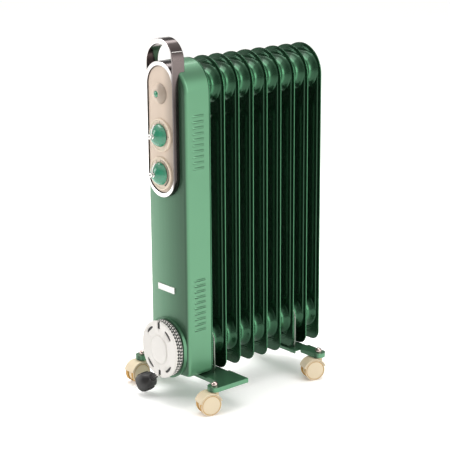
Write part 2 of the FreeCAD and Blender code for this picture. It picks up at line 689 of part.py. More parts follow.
def make_feet():
    """Pressed steel trays, open below, that carry the fins on a deck and a caster at each end."""
    floor = S.foot_low - S.over
    for name, y, end, bolt_y, caster_y in (
            ("front_foot", "front_foot_y", S.front_foot_end, S.bolt_front_y, S.caster_front_y),
            ("rear_foot", "rear_foot_y", S.rear_foot_end, S.bolt_rear_y, S.caster_rear_y)):
        outside = foot_block(y, end, as_size(0), S.foot_low, S.foot_step, S.foot_deck, S.foot_top)
        inside = foot_block(y, end, S.sheet, floor, S.foot_step + S.sheet, S.foot_deck - S.sheet,
                            S.foot_top - S.sheet)
        if name == "front_foot":
            outside += tab_blocks(as_size(0), S.foot_low, S.foot_top)
            inside += tab_blocks(S.sheet, floor, S.foot_top - S.sheet)
        for side in (-1, 1):
            drill = S.foot_top + S.over - floor
            inside.append(rod("Z", caster_place(side), caster_y, floor, S.stem_radius, drill))
            inside.append(rod("Z", bolt_leg() * side, bolt_y, floor, S.bolt_radius, drill))
        piece(name, cut(fuse(*outside), *inside))


def bolt_leg():
    """How far each leg of a U-bolt stands from the middle."""
    return S.header_half + S.bolt_radius + S.gap


def bolt_path(y):
    leg = bolt_leg().value
    radius = (S.header_radius + S.bolt_radius + S.gap).value
    centre, level = leg - radius, S.header_low.value
    foot = S.bolt_end.value
    top = level + radius
    diagonal = radius * math.sqrt(0.5)
    edges = [Part.LineSegment(FreeCAD.Vector(-leg, y, foot), FreeCAD.Vector(-leg, y, level)),
             Part.Arc(FreeCAD.Vector(-leg, y, level),
                      FreeCAD.Vector(-centre - diagonal, y, level + diagonal), FreeCAD.Vector(-centre, y, top)),
             Part.LineSegment(FreeCAD.Vector(-centre, y, top), FreeCAD.Vector(centre, y, top)),
             Part.Arc(FreeCAD.Vector(centre, y, top),
                      FreeCAD.Vector(centre + diagonal, y, level + diagonal), FreeCAD.Vector(leg, y, level)),
             Part.LineSegment(FreeCAD.Vector(leg, y, level), FreeCAD.Vector(leg, y, foot))]
    return Part.Wire([edge.toShape() for edge in edges])


def make_wing_nuts(rows):
    """Wing nuts under the deck, at the ends of the U-bolts."""
    nuts = []
    top = S.foot_deck - S.sheet
    for y in rows:
        for side in (-1, 1):
            x = bolt_leg() * side
            hub = rod("Z", x, y, top - S.nut_tall, S.nut_radius, S.nut_tall)
            wing_top = top - S.wing_thick
            wings = box((x - S.wing_thick / 2, x + S.wing_thick / 2), (y - S.wing_half, y + S.wing_half),
                        (wing_top - S.wing_tall, wing_top))
            thread = rod("Z", x, y, top - S.nut_tall * 2, S.bolt_radius, S.nut_tall * 2 + S.over)
            nuts.append(cut(fuse(hub, wings), thread))
    piece("wing_nuts", group(*nuts))


def make_dome_nut(x, y):
    """A dome nut on the foot, closed over the end of the caster's stem."""
    skirt = rod("Z", x, y, S.foot_top, S.dome_nut_radius, S.dome_skirt)
    dome = fuse(skirt, ball(x, y, S.foot_top + S.dome_level, S.dome_ball))
    reach = S.dome_nut_radius * 2
    above = box((x - reach, x + reach), (y - reach, y + reach), (S.foot_top, S.foot_top + reach))
    return cut(common(dome, above), rod("Z", x, y, S.foot_deck, S.stem_radius, S.stem_high - S.foot_deck))


def make_fasteners():
    rows = (S.bolt_front_y, S.bolt_rear_y)
    bolts = [sweep(bolt_path(y.value), S.bolt_radius.value) for y in rows]
    add_shape("u_bolts", Part.makeCompound(bolts))
    make_wing_nuts(rows)
    places = [(caster_place(side), y) for y in (S.caster_front_y, S.caster_rear_y) for side in (-1, 1)]
    stems = [rod("Z", x, y, S.stem_low, S.stem_radius, S.stem_high - S.stem_low) for x, y in places]
    piece("caster_stems", group(*stems))
    piece("dome_nuts", group(*[make_dome_nut(x, y) for x, y in places]))


# ---- Casters ----

def make_caster(name, side, row, angle):
    """Twin-wheel caster: its stem turns about the vertical, and its wheels roll the trail behind the stem."""
    x, y = caster_place(side), getattr(S, row)
    level = S.wheel_radius
    axle_y = -S.trail
    outer = S.wheel_outer
    cheek = S.wheel_inner - S.gap
    hood_inside = level + S.hood_gap
    hood_outside = hood_inside + S.hood_wall
    shell = rod("X", -outer, axle_y, level, hood_outside, outer * 2)
    room = rod("X", -outer - S.over, axle_y, level, hood_inside, (outer + S.over) * 2)
    hood_ends = (axle_y - hood_outside, axle_y + hood_outside)
    upper = box((-outer, outer), hood_ends, (S.hood_low, level + hood_outside))
    band = common(cut(shell, room), upper)
    web = fuse(rod("X", -cheek, axle_y, level, level - S.sheet, cheek * 2),
               box((-cheek, cheek), (axle_y, S.web_reach), (level, S.web_high)))
    boss = rod("Z", 0, 0, S.boss_low, S.boss_radius, S.boss_top - S.boss_low)
    socket = rod("Z", 0, 0, S.socket_low, S.stem_radius + S.running, S.boss_top - S.socket_low + S.over)
    axle_hole = rod("X", -outer, axle_y, level, S.axle_radius + S.running, outer * 2)
    piece(f"caster_{name}_hood", cut(fuse(band, web, boss), socket, axle_hole), x, y, angle)
    tyres = []
    for limits in ((S.wheel_inner, outer), (-outer, -S.wheel_inner)):
        wheel = rod("X", limits[0], axle_y, level, level, limits[1] - limits[0])
        tyres.append(cut(wheel, rod("X", -outer, axle_y, level, S.axle_radius, outer * 2)))
    piece(f"caster_{name}_wheels", group(*tyres), x, y, angle)
    piece(f"caster_{name}_axle", rod("X", -outer, axle_y, level, S.axle_radius, outer * 2), x, y, angle)


def check_and_export():
    doc.recompute()
    for item in doc.Objects:
        if "Invalid" in item.State or "Error" in item.State:
            raise RuntimeError(f"{item.Name} ({item.Label}) failed: {item.State}")
    os.makedirs("parts", exist_ok=True)
    bounds = FreeCAD.BoundBox()
    for name, item in PIECES.items():
        shape = item.Shape
        if shape.isNull() or not shape.isValid() or not shape.Solids:
            raise RuntimeError(f"{name} has no valid solid")
        shape.exportStep(f"parts/{name}.step")
        if not name.startswith(("cord_", "plug_")):
            bounds.add(shape.BoundBox)
    print(f"{len(PIECES)} pieces, bounds {bounds}")


for fin in range(FINS):
    make_fin(fin)
make_element()
make_housing()
make_frame()
make_fascia()
make_indicator()
for control, level in (("selector", S.selector_z), ("thermostat", S.thermostat_z)):
    make_control(control, level)
make_switchgear()
make_badge()
make_winder()
make_cord()
make_feet()
make_fasteners()
for caster in CASTERS:
    make_caster(*caster)
check_and_export()
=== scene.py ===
import math
from functools import cache

import bmesh
import bpy
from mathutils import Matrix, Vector


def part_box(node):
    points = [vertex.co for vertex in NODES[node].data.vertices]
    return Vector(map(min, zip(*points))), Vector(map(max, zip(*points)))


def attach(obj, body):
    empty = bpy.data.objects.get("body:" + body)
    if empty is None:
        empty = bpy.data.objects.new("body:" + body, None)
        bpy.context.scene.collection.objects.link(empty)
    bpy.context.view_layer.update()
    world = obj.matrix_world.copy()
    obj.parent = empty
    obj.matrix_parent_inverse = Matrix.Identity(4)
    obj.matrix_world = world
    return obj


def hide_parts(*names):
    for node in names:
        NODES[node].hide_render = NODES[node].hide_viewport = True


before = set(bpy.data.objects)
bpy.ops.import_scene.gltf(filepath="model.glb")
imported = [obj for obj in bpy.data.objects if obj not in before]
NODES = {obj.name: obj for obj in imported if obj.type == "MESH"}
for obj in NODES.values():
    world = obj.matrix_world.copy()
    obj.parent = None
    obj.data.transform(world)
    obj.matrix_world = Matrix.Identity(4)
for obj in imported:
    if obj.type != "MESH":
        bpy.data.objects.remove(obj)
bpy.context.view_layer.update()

# Oil filled radiator heater. Front is -Y, up is +Z. Lengths are millimetres in the frame's own axes, and turn
# into metres as a mesh is made. The camera, the lights and the floor are in metres from the start.
MM = 0.001


def limits(node):
    """Lowest and highest corner of a CAD node, in millimetres."""
    low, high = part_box(node)
    return low / MM, high / MM


FIN_LOW, FIN_HIGH = limits("fin_1")
COVER_LOW, COVER_HIGH = limits("front_cover")
PITCH = limits("fin_2")[0].y - FIN_LOW.y
FIN_MIDDLE = (FIN_LOW.y + FIN_HIGH.y) / 2
FIRST_FIN = FIN_MIDDLE - PITCH
FIN_HALF = FIN_HIGH.x


# ---- Camera, stage and light ----

def look_from(azimuth, elevation):
    """The direction in which a camera at that azimuth and elevation looks."""
    a, e = math.radians(azimuth), math.radians(elevation)
    return Vector((-math.sin(a) * math.cos(e), math.cos(a) * math.cos(e), -math.sin(e)))


def make_camera():
    """The camera stands in front of the heater, to its right and a little above it."""
    data = bpy.data.cameras.new("camera")
    camera = bpy.data.objects.new("camera", data)
    bpy.context.scene.collection.objects.link(camera)
    data.sensor_width = 36
    data.lens = 114.88
    data.shift_x = -0.0909
    data.shift_y = -0.0141
    camera.location = (1.9805, -1.6789, 1.0319)
    camera.rotation_euler = look_from(48.2, 15.3).to_track_quat("-Z", "Y").to_euler()
    bpy.context.scene.camera = camera


def node(tree, kind, values=None, **settings):
    """A shader node with its settings and the plain values of its inputs."""
    item = tree.nodes.new(kind)
    for name, value in settings.items():
        setattr(item, name, value)
    for key, value in (values or {}).items():
        item.inputs[key].default_value = value
    return item


def link(tree, source, target):
    """Joins an output of one shader node to an input of another."""
    tree.links.new(source, target)


def ramp_range(tree, value, low, high, out_low, out_high):
    """A smooth step of value from low to high."""
    item = node(tree, "ShaderNodeMapRange", {"From Min": low, "From Max": high, "To Min": out_low,
                                             "To Max": out_high}, interpolation_type="SMOOTHSTEP")
    link(tree, value, item.inputs["Value"])
    return item.outputs["Result"]


def math_node(tree, operation, first, second=0):
    """A sum of two values, each of which is a number or another node's output."""
    item = node(tree, "ShaderNodeMath", operation=operation)
    for slot, value in zip(item.inputs, (first, second)):
        if isinstance(value, (int, float)):
            slot.default_value = value
        else:
            link(tree, value, slot)
    return item.outputs[0]


def make_world():
    """White behind the object. As light it is a studio: bright on the right and above, dark in front."""
    world = bpy.data.worlds.new("studio")
    bpy.context.scene.world = world
    world.use_nodes = True
    tree = world.node_tree
    tree.nodes.clear()
    place = node(tree, "ShaderNodeTexCoord")
    split = node(tree, "ShaderNodeSeparateXYZ")
    link(tree, place.outputs["Generated"], split.inputs[0])
    x, y, z = split.outputs
    right = ramp_range(tree, x, 0.25, 0.9, 0, 0.9)
    left = ramp_range(tree, x, -0.6, -0.95, 0, 1.1)
    above = ramp_range(tree, z, 0.5, 0.95, 0, 1.2)
    front = ramp_range(tree, y, 0.1, -0.6, 1, 0.3)
    sides = math_node(tree, "ADD", math_node(tree, "MULTIPLY", right, front), left)
    total = math_node(tree, "ADD", math_node(tree, "ADD", sides, above), 0.16)
    studio = node(tree, "ShaderNodeBackground", {"Color": (1, 0.985, 0.965, 1)})
    link(tree, total, studio.inputs["Strength"])
    white = node(tree, "ShaderNodeBackground", {"Color": (1, 1, 1, 1), "Strength": 1.02})
    path = node(tree, "ShaderNodeLightPath")
    mix = node(tree, "ShaderNodeMixShader")
    link(tree, path.outputs["Is Camera Ray"], mix.inputs[0])
    link(tree, studio.outputs[0], mix.inputs[1])
    link(tree, white.outputs[0], mix.inputs[2])
    output = node(tree, "ShaderNodeOutputWorld")
    link(tree, mix.outputs[0], output.inputs[0])
    bpy.context.scene.view_settings.view_transform = "Standard"


def area_light(name, place, aim, size, power, shine=1.0):
    """A soft rectangular lamp. shine is its share in reflections."""
    data = bpy.data.lights.new(name, "AREA")
    data.shape = "RECTANGLE"
    data.size, data.size_y = size
    data.energy = power
    data.specular_factor = shine
    lamp = bpy.data.objects.new(name, data)
    bpy.context.scene.collection.objects.link(lamp)
    lamp.location = place
    lamp.rotation_euler = (Vector(aim) - Vector(place)).to_track_quat("-Z", "Y").to_euler()


def make_stage():
    """A plain white floor and three soft lamps."""
    floor_size = 6
    mesh = bpy.data.meshes.new("floor")
    corners = [(-floor_size, -floor_size, 0), (floor_size, -floor_size, 0), (floor_size, floor_size, 0),
               (-floor_size, floor_size, 0)]
    mesh.from_pydata(corners, [], [(0, 1, 2, 3)])
    floor = bpy.data.objects.new("floor", mesh)
    bpy.context.scene.collection.objects.link(floor)
    paper = surface("floor_paper", (0.97, 0.97, 0.965), rough=0.9, grain=40, tint=0.01)
    glow = paper.node_tree.nodes["Principled BSDF"].inputs
    glow["Emission Color"].default_value = (1, 1, 1, 1)
    glow["Emission Strength"].default_value = 0.15
    mesh.materials.append(paper)
    area_light("overhead", (-0.5, 0.3, 2.6), (0.1, 0, 0.2), (1.9, 1.9), 49, 0.25)
    area_light("right", (2.4, 0.7, 1.2), (0, 0, 0.35), (1.4, 1.8), 17)
    area_light("left_front", (-1.6, -2.2, 1.3), (0, -0.15, 0.3), (0.9, 1.6), 22)


# ---- Materials ----

# The share by which a surface's roughness wanders to each side.
WEAR = 0.1


def surface(name, colour, rough, metal=0.0, grain=60, tint=0.06, bump=0.02, coat=0.0, stretch=(1, 1, 1),
            through=0.0):
    """A procedural surface: its colour and roughness wander a little over the piece, and a fine grain
    lies in its bump. stretch draws the grain out, as on brushed metal."""
    material = bpy.data.materials.new(name)
    material.use_nodes = True
    tree = material.node_tree
    shader = tree.nodes["Principled BSDF"]
    shader.inputs["Metallic"].default_value = metal
    shader.inputs["Coat Weight"].default_value = coat
    shader.inputs["Coat Roughness"].default_value = 0.08
    shader.inputs["Transmission Weight"].default_value = through
    place = node(tree, "ShaderNodeTexCoord")
    scaled = node(tree, "ShaderNodeMapping", {"Scale": stretch})
    link(tree, place.outputs["Object"], scaled.inputs["Vector"])
    broad = node(tree, "ShaderNodeTexNoise", {"Scale": grain * 0.2, "Detail": 4})
    fine = node(tree, "ShaderNodeTexNoise", {"Scale": grain * 18, "Detail": 3})
    for texture in (broad, fine):
        link(tree, scaled.outputs[0], texture.inputs["Vector"])
    shades = node(tree, "ShaderNodeMix", data_type="RGBA")
    shades.inputs["A"].default_value = [channel * (1 - tint) for channel in colour] + [1]
    shades.inputs["B"].default_value = [min(1, channel * (1 + tint)) for channel in colour] + [1]
    link(tree, broad.outputs["Fac"], shades.inputs["Factor"])
    link(tree, shades.outputs["Result"], shader.inputs["Base Color"])
    smoothest, roughest = rough * (1 - WEAR), min(1, rough * (1 + WEAR))
    roughness = ramp_range(tree, fine.outputs["Fac"], 0.3, 0.7, smoothest, roughest)
    link(tree, roughness, shader.inputs["Roughness"])
    relief = node(tree, "ShaderNodeBump", {"Strength": bump, "Distance": 0.0004})
    link(tree, fine.outputs["Fac"], relief.inputs["Height"])
    link(tree, relief.outputs[0], shader.inputs["Normal"])
    return material


def paint_facing_shade(material, normal_shades):
    """Paints shade into a paint by the direction that its surface faces. Each row of normal_shades has an
    axis of the surface's own normal, the range of it over which the colour goes from the first share to the
    second, those shares, and None or the axis and range that let this row take effect."""
    tree = material.node_tree
    shader = tree.nodes["Principled BSDF"]
    colour = shader.inputs["Base Color"].links[0].from_socket
    place = node(tree, "ShaderNodeTexCoord")
    split = node(tree, "ShaderNodeSeparateXYZ")
    link(tree, place.outputs["Normal"], split.inputs[0])
    share = 1.0
    for axis, start, end, first, second, gate in normal_shades:
        value = ramp_range(tree, split.outputs[axis], start, end, first, second)
        if gate:
            open_gate = ramp_range(tree, split.outputs[gate[0]], gate[1], gate[2], 0, 1)
            less = math_node(tree, "MULTIPLY", math_node(tree, "SUBTRACT", 1, value), open_gate)
            value = math_node(tree, "SUBTRACT", 1, less)
        share = math_node(tree, "MULTIPLY", share, value)
    scaled = node(tree, "ShaderNodeVectorMath", operation="SCALE")
    link(tree, colour, scaled.inputs[0])
    link(tree, share, scaled.inputs["Scale"])
    link(tree, scaled.outputs[0], shader.inputs["Base Color"])
    return material


def paint_shade_along(material, fades):
    """Paints shade into a material along the object's own axes. Each row has the axis, the range in
    millimetres and the two shares of the colour at its ends."""
    tree = material.node_tree
    shader = tree.nodes["Principled BSDF"]
    colour = shader.inputs["Base Color"].links[0].from_socket
    place = node(tree, "ShaderNodeTexCoord")
    split = node(tree, "ShaderNodeSeparateXYZ")
    link(tree, place.outputs["Object"], split.inputs[0])
    for axis, start, end, first, second in fades:
        share = ramp_range(tree, split.outputs[axis], start * MM, end * MM, first, second)
        scaled = node(tree, "ShaderNodeVectorMath", operation="SCALE")
        link(tree, colour, scaled.inputs[0])
        link(tree, share, scaled.inputs["Scale"])
        colour = scaled.outputs[0]
    link(tree, colour, shader.inputs["Base Color"])
    return material


# Each of the functions below makes its material once.

@cache
def green_paint():
    paint = surface("green_enamel", (0.112, 0.285, 0.16), rough=0.36, metal=0.6, coat=0.2, grain=30,
                    tint=0.04, bump=0.006)
    # Painted shade: front faces darken from left to right across the crown, and faces turned upwards are
    # darker.
    return paint_facing_shade(paint, [(0, -0.25, 0.3, 0.78, 0.26, (1, -0.55, -0.95)), (2, 0.3, 0.65, 1, 0.68, None)])


@cache
def fin_paint():
    paint = surface("fin_enamel", (0.09, 0.3, 0.15), rough=0.24, metal=0.75, coat=0.05, grain=30, tint=0.05,
                    bump=0.001)
    # Painted shade: the sheets darken where they face the front, the back or upwards, for the shade between
    # the fins.
    return paint_facing_shade(paint, [(1, -0.05, -0.5, 1, 0.26, None), (1, -0.6, -0.95, 1, 0.74, None),
                          (2, 0.3, 0.9, 1, 0.5, None), (1, 0.3, 0.9, 1, 0.6, None)])


@cache
def chrome():
    return surface("chrome_plate", (0.8, 0.78, 0.76), rough=0.1, metal=1, grain=50, tint=0.02, bump=0.01)


@cache
def frame_chrome():
    """Plate whose dark brownish colour paints the dark reflections on its band, with painted shade on the
    band's top and lower down, least at the loop, and a painted highlight on its front lip.
    """
    material = surface("frame_plate", (0.24, 0.2, 0.195), rough=0.16, metal=1, grain=50, tint=0.04, bump=0.01)
    # Painted shade: the band darkens on faces turned upwards and towards its bottom.
    paint_facing_shade(material, [(2, 0.15, 0.5, 1, 0.45, (1, -0.4, -0.2))])
    paint_shade_along(material, [(2, 560, 640, 0.3, 1)])
    tree = material.node_tree
    shader = tree.nodes["Principled BSDF"]
    shaded_band_colour = shader.inputs["Base Color"].links[0].from_socket
    place = node(tree, "ShaderNodeTexCoord")
    split = node(tree, "ShaderNodeSeparateXYZ")
    link(tree, place.outputs["Normal"], split.inputs[0])
    across = node(tree, "ShaderNodeSeparateXYZ")
    link(tree, place.outputs["Object"], across.inputs[0])
    # Painted highlight: faces turned to the front are mixed towards near white, less so on the lip's right
    # side.
    lit_side = ramp_range(tree, across.outputs[0], 31 * MM, 37 * MM, 1, 0.1)
    lip_highlight = math_node(tree, "MULTIPLY", ramp_range(tree, split.outputs[1], -0.55, -0.95, 0, 1), lit_side)
    mix = node(tree, "ShaderNodeMix", data_type="RGBA")
    mix.inputs["B"].default_value = (0.95, 0.93, 0.92, 1)
    link(tree, lip_highlight, mix.inputs["Factor"])
    link(tree, shaded_band_colour, mix.inputs["A"])
    link(tree, mix.outputs["Result"], shader.inputs["Base Color"])
    return material


@cache
def pink_chrome():
    return surface("nut_plate", (0.55, 0.44, 0.41), rough=0.14, metal=1, grain=60, tint=0.05, bump=0.02)


@cache
def beige():
    plastic = surface("beige_plastic", (0.64, 0.52, 0.42), rough=0.42, grain=80, tint=0.03, bump=0.05)
    # Painted shade: the panel darkens towards its right edge.
    return paint_shade_along(plastic, [(0, 6, 34, 1, 0.56)])


@cache
def dome_beige():
    plastic = surface("dome_plastic", (0.64, 0.52, 0.42), rough=0.4, grain=80, tint=0.03, bump=0.04)
    # Painted shade: the side of the dome that faces right is darker.
    return paint_facing_shade(plastic, [(0, -0.15, 0.3, 1, 0.58, None)])


@cache
def beige_rim():
    return surface("beige_rim_plastic", (0.74, 0.62, 0.49), rough=0.35, grain=80, tint=0.03, bump=0.04)


@cache
def knob_green():
    return surface("knob_plastic", (0.03, 0.24, 0.135), rough=0.2, coat=0.6, grain=60, tint=0.05, bump=0.01)


@cache
def white_plastic():
    return surface("white_plastic", (0.68, 0.655, 0.625), rough=0.38, grain=80, tint=0.02, bump=0.04)


@cache
def cream():
    return surface("cream_plastic", (0.68, 0.57, 0.4), rough=0.4, grain=80, tint=0.04, bump=0.05)


@cache
def ochre_and_gap_shade():
    # Ochre for the ring inside each rim, which also paints the shade in the gap between a caster's twin
    # wheels and under them.
    return surface("ochre_plastic_and_gap_shade", (0.5, 0.27, 0.05), rough=0.5, grain=80, tint=0.06, bump=0.04)


@cache
def black_plastic():
    return surface("black_plastic", (0.011, 0.01, 0.01), rough=0.42, grain=120, tint=0.2, bump=0.1)


@cache
def zinc():
    return surface("zinc_plate", (0.62, 0.62, 0.6), rough=0.3, metal=1, grain=90, tint=0.08, bump=0.08)


@cache
def dark_rod():
    return surface("dark_rod", (0.2, 0.24, 0.2), rough=0.2, metal=1, grain=90, tint=0.1, bump=0.05)


@cache
def steel():
    return surface("bright_steel", (0.7, 0.69, 0.67), rough=0.24, metal=1, grain=90, tint=0.05, bump=0.05)


@cache
def brushed():
    return surface("brushed_plate", (0.72, 0.72, 0.7), rough=0.34, metal=1, grain=60, tint=0.06, bump=0.2,
                   stretch=(1, 1, 14))


@cache
def switchgear():
    return surface("moulded_switchgear", (0.5, 0.48, 0.42), rough=0.5, grain=90, tint=0.05, bump=0.06)


@cache
def rubber():
    return surface("soft_rubber", (0.05, 0.05, 0.05), rough=0.7, grain=120, tint=0.2, bump=0.15)


@cache
def wire_skin():
    return surface("wire_sleeve", (0.42, 0.07, 0.04), rough=0.55, grain=120, tint=0.15, bump=0.1)


@cache
def lens_green():
    return surface("lens_green", (0.03, 0.32, 0.16), rough=0.08, coat=1, grain=90, tint=0.15, bump=0.02,
                   through=0.35)


@cache
def lamp_glass():
    return surface("lamp_glass", (0.9, 0.5, 0.3), rough=0.1, grain=90, tint=0.1, bump=0.02, through=0.6)


@cache
def print_black():
    return surface("printed_mark", (0.02, 0.02, 0.018), rough=0.45, grain=120, tint=0.2, bump=0.05)


# ---- Making meshes ----

# An edge that turns more than this, in degrees, is sharp.
SHARP_ANGLE = 32


def finish_mesh(mesh, angle=SHARP_ANGLE):
    """Smooth faces, with the edges that turn more than angle kept sharp."""
    solid = bmesh.new()
    solid.from_mesh(mesh)
    bmesh.ops.recalc_face_normals(solid, faces=solid.faces)
    limit = math.radians(angle)
    for face in solid.faces:
        face.smooth = True
    for edge in solid.edges:
        edge.smooth = len(edge.link_faces) == 2 and edge.calc_face_angle(0) < limit
    solid.to_mesh(mesh)
    solid.free()


def make_piece(name, points, faces, material, body="heater", slot="green_paint", nodes=(),
               angle=SHARP_ANGLE):
    """A piece from points in millimetres."""
    mesh = bpy.data.meshes.new(name)
    mesh.from_pydata([Vector(point) * MM for point in points], [], faces)
    finish_mesh(mesh, angle)
    mesh.materials.append(material)
    piece = bpy.data.objects.new(name, mesh)
    bpy.context.scene.collection.objects.link(piece)
    ride_on(piece, body, nodes)
    return piece


def ride_on(piece, body, nodes=()):
    """The piece moves with body and stands for the CAD nodes."""
    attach(piece, body)
    if nodes:
        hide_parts(*nodes)


class Build:
    """Points and faces gathered from several forms into one mesh."""

    def __init__(self):
        self.points = []
        self.faces = []

    def add(self, points, faces):
        start = len(self.points)
        self.points += [tuple(point) for point in points]
        self.faces += [tuple(start + corner for corner in face) for face in faces]

    def loft(self, rings, ends=(True, True), loop=False):
        """Joins rings of equally many points. ends closes the first and last ring, loop joins them."""
        count = len(rings[0])
        points = [point for ring in rings for point in ring]
        faces = []
        steps = len(rings) if loop else len(rings) - 1
        for step in range(steps):
            low, high = step * count, ((step + 1) % len(rings)) * count
            for k in range(count):
                after = (k + 1) % count
                faces.append((low + k, low + after, high + after, high + k))
        if not loop:
            last = (len(rings) - 1) * count
            if ends[0]:
                faces.append(tuple(range(count - 1, -1, -1)))
            if ends[1]:
                faces.append(tuple(range(last, last + count)))
        self.add(points, faces)

    def piece(self, name, material, **more):
        return make_piece(name, self.points, self.faces, material, **more)


def oblong(half, tall, x=0.0, z=0.0, count=64, lying=False):
    """Outline round x, z: half is its width from the middle, tall its height, with half round ends."""
    outline = []
    round_half = min(half, tall)
    for k in range(count):
        turn = 2 * math.pi * (k + 0.5) / count
        across, up = math.sin(turn) * round_half, math.cos(turn) * round_half
        if lying:
            across += math.copysign(half - round_half, across)
        else:
            up += math.copysign(tall - round_half, up)
        outline.append((x + across, z + up))
    return outline


def at_depth(outline, y):
    """The points of an outline of pairs x, z in the upright plane at y."""
    return [(x, y, z) for x, z in outline]


def lathe(profile, centre, axis, count=64):
    """Rings for a form turned about axis through centre. profile is a list of pairs: the radius and the
    distance along the axis."""
    axis = Vector(axis).normalized()
    side = axis.orthogonal().normalized()
    other = axis.cross(side)
    rings = []
    for radius, along in profile:
        ring = []
        for k in range(count):
            turn = 2 * math.pi * k / count
            outward = side * math.cos(turn) + other * math.sin(turn)
            ring.append(Vector(centre) + axis * along + outward * radius)
        rings.append(ring)
    return rings


def arc_profile(radius, along, corner_radius, start, end, steps=6):
    """Points of a rounded corner in a lathe profile: its centre, its radius and the angles that it spans."""
    return [(radius + corner_radius * math.cos(math.radians(start + (end - start) * k / steps)),
             along + corner_radius * math.sin(math.radians(start + (end - start) * k / steps)))
            for k in range(steps + 1)]


def tube(path, radius, count=16):
    """Rings along a path of points, with a frame that doesn't twist."""
    path = [Vector(point) for point in path]
    rings = []
    normal = None
    for index, point in enumerate(path):
        before, after = path[max(index - 1, 0)], path[min(index + 1, len(path) - 1)]
        along = (after - before).normalized()
        if normal is None:
            normal = along.orthogonal().normalized()
        normal = (normal - along * normal.dot(along)).normalized()
        other = along.cross(normal)
        rings.append([point + (normal * math.cos(2 * math.pi * k / count)
                               + other * math.sin(2 * math.pi * k / count)) * radius for k in range(count)])
    return rings


def refined(name, source, material, body="heater", bevel=0.6, segments=3):
    """A piece with a CAD node's own form, its sharp edges rounded."""
    solid = bmesh.new()
    solid.from_mesh(NODES[source].data)
    bmesh.ops.remove_doubles(solid, verts=solid.verts, dist=0.00002)
    bmesh.ops.dissolve_limit(solid, angle_limit=math.radians(0.5), verts=solid.verts, edges=solid.edges)
    clean = bpy.data.meshes.new(name)
    solid.to_mesh(clean)
    solid.free()
    finish_mesh(clean)
    clean.materials.append(material)
    piece = bpy.data.objects.new(name, clean)
    bpy.context.scene.collection.objects.link(piece)
    rounding = piece.modifiers.new("rounding", "BEVEL")
    rounding.width = bevel * MM
    rounding.segments = segments
    rounding.limit_method = "ANGLE"
    rounding.angle_limit = math.radians(SHARP_ANGLE)
    rounding.use_clamp_overlap = True
    weighted = piece.modifiers.new("weighted", "WEIGHTED_NORMAL")
    weighted.keep_sharp = True
    ride_on(piece, body, (source,))
    return piece


# ---- Cord ----

CORD_RADIUS = 3.5
TURN_POINTS = 16
WINDER_Z = (limits("winder_drum")[0].z + limits("winder_drum")[1].z) / 2
COIL_FRONT, COIL_BACK = limits("cord_coil")[0].y, limits("cord_coil")[1].y
COLUMNS = (COIL_BACK - CORD_RADIUS, COIL_FRONT + CORD_RADIUS)
CORE_HALF = limits("winder_drum")[1].x
STRAIGHT = (limits("winder_drum")[1].z - WINDER_Z) - CORE_HALF
# The tail's points, with Y from the first fin.
TAIL = [(8.5, -73.5, 54.1), (-2, -73.5, 54), (-9, -73.5, 52.4), (-15.4, -73.9, 49.3), (-21.1, -74.3, 45.3)]
# Layer and column of each turn, from the drum outwards. Each crossing to the next place begins a tenth of a
# turn before the last one did, so that no two strands are in one place.
PLACES = [(0, 0), (0, 1), (1, 1), (1, 0), (2, 0), (2, 1)]
CROSSING = 0.1


def coil_route():
    """Control points of the turns, clockwise from the top seen from the front, to the bottom of the last."""
    stand_out = 1 / math.cos(math.pi / TURN_POINTS)
    first_point = 2
    last_turn = len(PLACES) - 0.5
    crossings = [0.9 + (1 - CROSSING) * k for k in range(len(PLACES) - 1)]
    points = []
    for index in range(first_point, int(last_turn * TURN_POINTS)):
        turns = index / TURN_POINTS
        layer, column = PLACES[0][0], COLUMNS[PLACES[0][1]]
        for start, before, after in zip(crossings, PLACES, PLACES[1:]):
            share = min(max((turns - start) / CROSSING, 0), 1)
            share = share * share * (3 - 2 * share)
            layer += (after[0] - before[0]) * share
            column += (COLUMNS[after[1]] - COLUMNS[before[1]]) * share
        half = (CORE_HALF + CORD_RADIUS * (1 + 2 * layer)) * stand_out
        angle = 2 * math.pi * turns
        points.append((half * math.sin(angle), column, WINDER_Z + (half + STRAIGHT) * math.cos(angle)))
    return points


def route_points():
    """The cord's whole route: out of the strain relief, round the drum and down to the plug."""
    exit_low, exit_high = limits("cord_gland")
    exit_point = (0, (exit_low.y + exit_high.y) / 2, exit_high.z)
    start = [exit_point, (1.5, exit_point[1] + 0.4, exit_point[2] + 1.8),
             (6.5, COLUMNS[0] - 1, exit_point[2] + 3.9)]
    tail = [(x, y + FIRST_FIN, z) for x, y, z in TAIL]
    return start + coil_route() + tail


def smooth_route(points):
    """The points that a NURBS spline through that route passes, in millimetres."""
    curve = bpy.data.curves.new("route", "CURVE")
    curve.dimensions = "3D"
    spline = curve.splines.new("NURBS")
    spline.points.add(len(points) - 1)
    for control, point in zip(spline.points, points):
        control.co = (*[value * MM for value in point], 1)
    spline.order_u = 3
    spline.use_endpoint_u = True
    spline.resolution_u = 8
    holder = bpy.data.objects.new("route", curve)
    bpy.context.scene.collection.objects.link(holder)
    bpy.context.view_layer.update()
    line = bpy.data.meshes.new_from_object(holder)
    passed = [vertex.co / MM for vertex in line.vertices]
    bpy.data.objects.remove(holder)
    bpy.data.curves.remove(curve)
    bpy.data.meshes.remove(line)
    return passed


